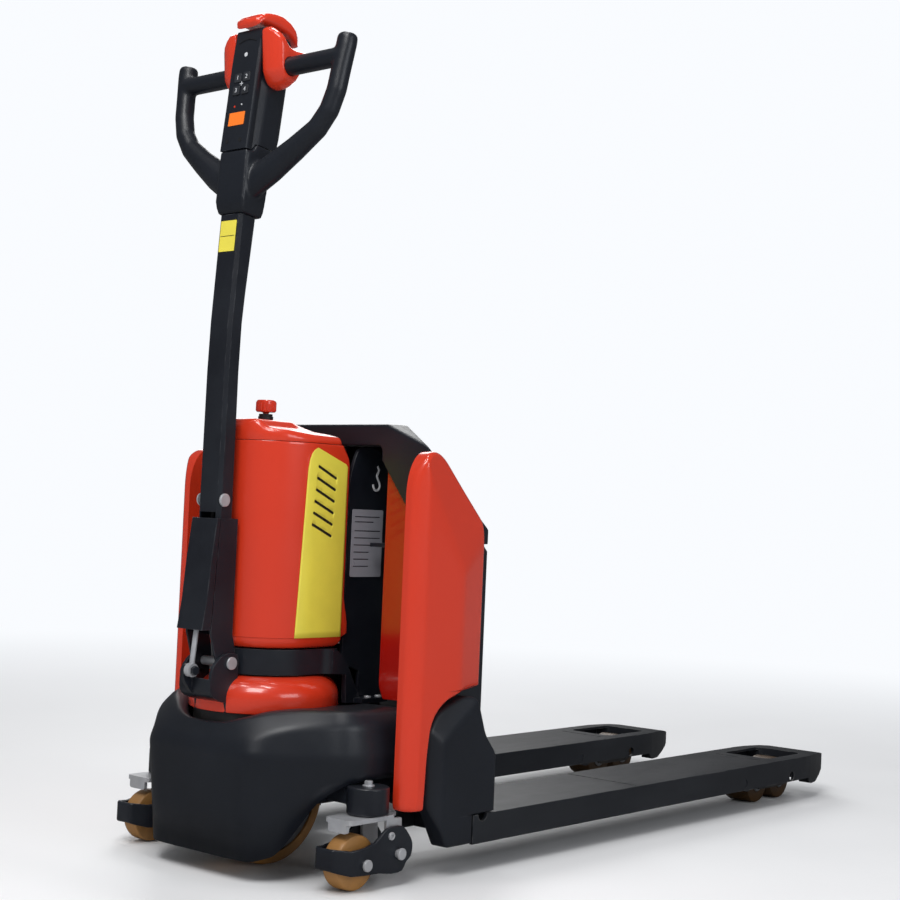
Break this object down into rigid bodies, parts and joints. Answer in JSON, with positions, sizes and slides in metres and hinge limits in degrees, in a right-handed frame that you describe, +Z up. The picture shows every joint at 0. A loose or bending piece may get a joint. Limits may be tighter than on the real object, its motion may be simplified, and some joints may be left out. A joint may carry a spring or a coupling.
{
  "type": "electric pallet truck",
  "caption": "Electric pallet truck with a steered drive wheel, upright looped tiller, red drum cover, portal battery bay, lifting forks and swivelling stabiliser casters.",
  "frame": {"origin": "on the floor, directly under the steering axis", "axes": "+X from the drive end to the fork tips, +Y to the left of the truck seen from the operator, +Z up"},
  "size_m": [1.5462, 0.542, 1.2965],
  "materials": {
    "red_cover": "glossy orange-red",
    "black_plastic": "satin moulded black",
    "battery_case": "matte grey-black",
    "black_paint": "satin blue-black powder coat",
    "zinc": "zinc plated",
    "cast_alloy": "as cast",
    "polyurethane": "amber polyurethane",
    "cast_iron": "dark cast",
    "key_grey": "matte keypad grey"
  },
  "bodies": {
    "chassis": {"chassis_frame": "black_paint", "drive_collar": "black_paint", "skirt": "black_plastic", "drum_cover": "red_cover", "drum_cap": "red_cover", "hydraulic_unit": "cast_alloy", "lift_cylinder": "black_paint", "caster_mount_right": "black_paint", "caster_mount_left": "black_paint"},
    "stop_button": {"stop_button": "red_cover"},
    "drive_unit": {"steer_dome": "red_cover", "drive_yoke": "cast_iron", "gear_motor": "cast_alloy", "tiller_bracket": "black_paint", "tiller_pin": "zinc"},
    "drive_wheel": {"drive_hub": "cast_alloy", "drive_tyre": "polyurethane"},
    "tiller": {"tiller_fork": "black_paint", "spring_cover": "black_paint", "tiller_tube": "black_paint", "handle_frame": "black_plastic", "keypad_panel": "black_plastic", "head_rear_cover": "black_plastic"},
    "throttle": {"throttle_right": "red_cover", "throttle_left": "red_cover"},
    "belly_button": {"belly_button": "red_cover"},
    "gas_rod": {"gas_rod": "zinc"},
    "gas_cylinder": {"gas_cylinder": "black_paint"},
    "fork_frame": {"fork_right": "black_paint", "fork_left": "black_paint", "carriage": "black_paint", "battery": "battery_case", "side_panel_right": "red_cover", "side_panel_left": "red_cover", "arch_cover": "black_plastic", "heel_cover_right": "black_plastic", "heel_cover_left": "black_plastic", "lift_ram": "zinc"},
    "rocker": {"rocker_shaft": "cast_iron"},
    "key_1": {"key_1": "key_grey"},
    "key_2": {"key_2": "key_grey"},
    "key_3": {"key_3": "key_grey"},
    "key_4": {"key_4": "key_grey"},
    "caster_bracket_right": {"caster_bracket_right": "zinc"},
    "caster_arm_right": {"caster_arm_right": "black_paint"},
    "caster_wheel_right": {"caster_wheel_right": "polyurethane"},
    "caster_bracket_left": {"caster_bracket_left": "zinc"},
    "caster_arm_left": {"caster_arm_left": "black_paint"},
    "caster_wheel_left": {"caster_wheel_left": "polyurethane"},
    "load_arm_right": {"load_arm_right": "black_paint"},
    "bogie_right": {"bogie_right": "cast_iron"},
    "push_rod_right": {"push_rod_right": "cast_iron"},
    "load_wheel_right_rear": {"load_wheel_right_rear": "polyurethane"},
    "load_wheel_right_front": {"load_wheel_right_front": "polyurethane"},
    "load_arm_left": {"load_arm_left": "black_paint"},
    "bogie_left": {"bogie_left": "cast_iron"},
    "push_rod_left": {"push_rod_left": "cast_iron"},
    "load_wheel_left_rear": {"load_wheel_left_rear": "polyurethane"},
    "load_wheel_left_front": {"load_wheel_left_front": "polyurethane"}
  },
  "joints": [
    {"name": "steering", "type": "hinge", "parent": "chassis", "child": "drive_unit", "pos_m": [0, 0, 0.3], "axis": [0, 0, 1], "range_deg": [-85, 85]},
    {"name": "drive_wheel_spin", "type": "hinge", "parent": "drive_unit", "child": "drive_wheel", "pos_m": [0, 0, 0.105], "axis": [0, 1, 0], "continuous": true},
    {"name": "tiller_tilt", "type": "hinge", "parent": "drive_unit", "child": "tiller", "pos_m": [-0.103, 0, 0.308], "axis": [0, -1, 0], "range_deg": [0, 72]},
    {"name": "gas_spring_ball", "type": "hinge", "parent": "drive_unit", "child": "gas_rod", "pos_m": [-0.149, 0, 0.297], "axis": [0, -1, 0], "range_deg": [0, 72]},
    {"name": "gas_spring_stroke", "type": "slide", "parent": "gas_rod", "child": "gas_cylinder", "axis": [0.107, 0, 0.9943], "range_m": [-0.055, 0]},
    {"name": "throttle_turn", "type": "hinge", "parent": "tiller", "child": "throttle", "pos_m": [-0.06635, 0, 1.2026], "axis": [0, 1, 0], "range_deg": [-25, 25], "stiffness_Nm_per_rad": 0.5},
    {"name": "belly_button_press", "type": "slide", "parent": "tiller", "child": "belly_button", "axis": [-0.1305, 0, -0.9914], "range_m": [0, 0.007], "stiffness_N_per_m": 800},
    {"name": "key_1_press", "type": "slide", "parent": "tiller", "child": "key_1", "axis": [0.9914, 0, -0.1305], "range_m": [0, 0.0015], "stiffness_N_per_m": 500},
    {"name": "key_2_press", "type": "slide", "parent": "tiller", "child": "key_2", "axis": [0.9914, 0, -0.1305], "range_m": [0, 0.0015], "stiffness_N_per_m": 500},
    {"name": "key_3_press", "type": "slide", "parent": "tiller", "child": "key_3", "axis": [0.9914, 0, -0.1305], "range_m": [0, 0.0015], "stiffness_N_per_m": 500},
    {"name": "key_4_press", "type": "slide", "parent": "tiller", "child": "key_4", "axis": [0.9914, 0, -0.1305], "range_m": [0, 0.0015], "stiffness_N_per_m": 500},
    {"name": "stop_button_press", "type": "slide", "parent": "chassis", "child": "stop_button", "axis": [0, 0, -1], "range_m": [0, 0.0045], "stiffness_N_per_m": 500},
    {"name": "caster_swivel_right", "type": "hinge", "parent": "chassis", "child": "caster_bracket_right", "pos_m": [0.005, -0.222, 0.1], "axis": [0, 0, 1], "continuous": true},
    {"name": "caster_spring_right", "type": "hinge", "parent": "caster_bracket_right", "child": "caster_arm_right", "pos_m": [0.039, -0.222, 0.048], "axis": [0, 1, 0], "range_deg": [0, 8], "stiffness_Nm_per_rad": 600, "springref_deg": -2.86},
    {"name": "caster_spin_right", "type": "hinge", "parent": "caster_arm_right", "child": "caster_wheel_right", "pos_m": [-0.03, -0.222, 0.04], "axis": [0, 1, 0], "continuous": true},
    {"name": "caster_swivel_left", "type": "hinge", "parent": "chassis", "child": "caster_bracket_left", "pos_m": [0.005, 0.222, 0.1], "axis": [0, 0, 1], "continuous": true},
    {"name": "caster_spring_left", "type": "hinge", "parent": "caster_bracket_left", "child": "caster_arm_left", "pos_m": [0.039, 0.222, 0.048], "axis": [0, 1, 0], "range_deg": [0, 8], "stiffness_Nm_per_rad": 600, "springref_deg": -2.86},
    {"name": "caster_spin_left", "type": "hinge", "parent": "caster_arm_left", "child": "caster_wheel_left", "pos_m": [-0.03, 0.222, 0.04], "axis": [0, 1, 0], "continuous": true},
    {"name": "lift", "type": "slide", "parent": "chassis", "child": "fork_frame", "axis": [0, 0, 1], "range_m": [0, 0.115]},
    {"name": "rocker_turn", "type": "hinge", "parent": "fork_frame", "child": "rocker", "pos_m": [0.212, 0, 0.088], "axis": [0, 1, 0], "range_deg": [-45.2, 0]},
    {"name": "load_arm_turn_right", "type": "hinge", "parent": "fork_frame", "child": "load_arm_right", "pos_m": [1, -0.19, 0.057], "axis": [0, 1, 0], "range_deg": [0, 39.9]},
    {"name": "bogie_turn_right", "type": "hinge", "parent": "load_arm_right", "child": "bogie_right", "pos_m": [1.181, -0.19, 0.054], "axis": [0, 1, 0], "range_deg": [-39.9, 0]},
    {"name": "push_rod_stroke_right", "type": "slide", "parent": "fork_frame", "child": "push_rod_right", "axis": [1, 0, 0], "range_m": [0, 0.0117]},
    {"name": "load_wheel_spin_right_rear", "type": "hinge", "parent": "bogie_right", "child": "load_wheel_right_rear", "pos_m": [1.137, -0.19, 0.04], "axis": [0, 1, 0], "continuous": true},
    {"name": "load_wheel_spin_right_front", "type": "hinge", "parent": "bogie_right", "child": "load_wheel_right_front", "pos_m": [1.225, -0.19, 0.04], "axis": [0, 1, 0], "continuous": true},
    {"name": "load_arm_turn_left", "type": "hinge", "parent": "fork_frame", "child": "load_arm_left", "pos_m": [1, 0.19, 0.057], "axis": [0, 1, 0], "range_deg": [0, 39.9]},
    {"name": "bogie_turn_left", "type": "hinge", "parent": "load_arm_left", "child": "bogie_left", "pos_m": [1.181, 0.19, 0.054], "axis": [0, 1, 0], "range_deg": [-39.9, 0]},
    {"name": "push_rod_stroke_left", "type": "slide", "parent": "fork_frame", "child": "push_rod_left", "axis": [1, 0, 0], "range_m": [0, 0.0117]},
    {"name": "load_wheel_spin_left_rear", "type": "hinge", "parent": "bogie_left", "child": "load_wheel_left_rear", "pos_m": [1.137, 0.19, 0.04], "axis": [0, 1, 0], "continuous": true},
    {"name": "load_wheel_spin_left_front", "type": "hinge", "parent": "bogie_left", "child": "load_wheel_left_front", "pos_m": [1.225, 0.19, 0.04], "axis": [0, 1, 0], "continuous": true}
  ],
  "couplings": [
    {"joint": "gas_spring_ball", "follows": "tiller_tilt", "ratio": 0.99},
    {"joint": "gas_spring_stroke", "follows": "tiller_tilt", "m_per_rad": -0.0413},
    {"joint": "rocker_turn", "follows": "lift", "rad_per_m": -6.829},
    {"joint": "load_arm_turn_right", "follows": "lift", "rad_per_m": 6.03},
    {"joint": "bogie_turn_right", "follows": "lift", "rad_per_m": -6.03},
    {"joint": "push_rod_stroke_right", "follows": "lift", "ratio": 0.1005},
    {"joint": "load_arm_turn_left", "follows": "lift", "rad_per_m": 6.03},
    {"joint": "bogie_turn_left", "follows": "lift", "rad_per_m": -6.03},
    {"joint": "push_rod_stroke_left", "follows": "lift", "ratio": 0.1005}
  ]
}
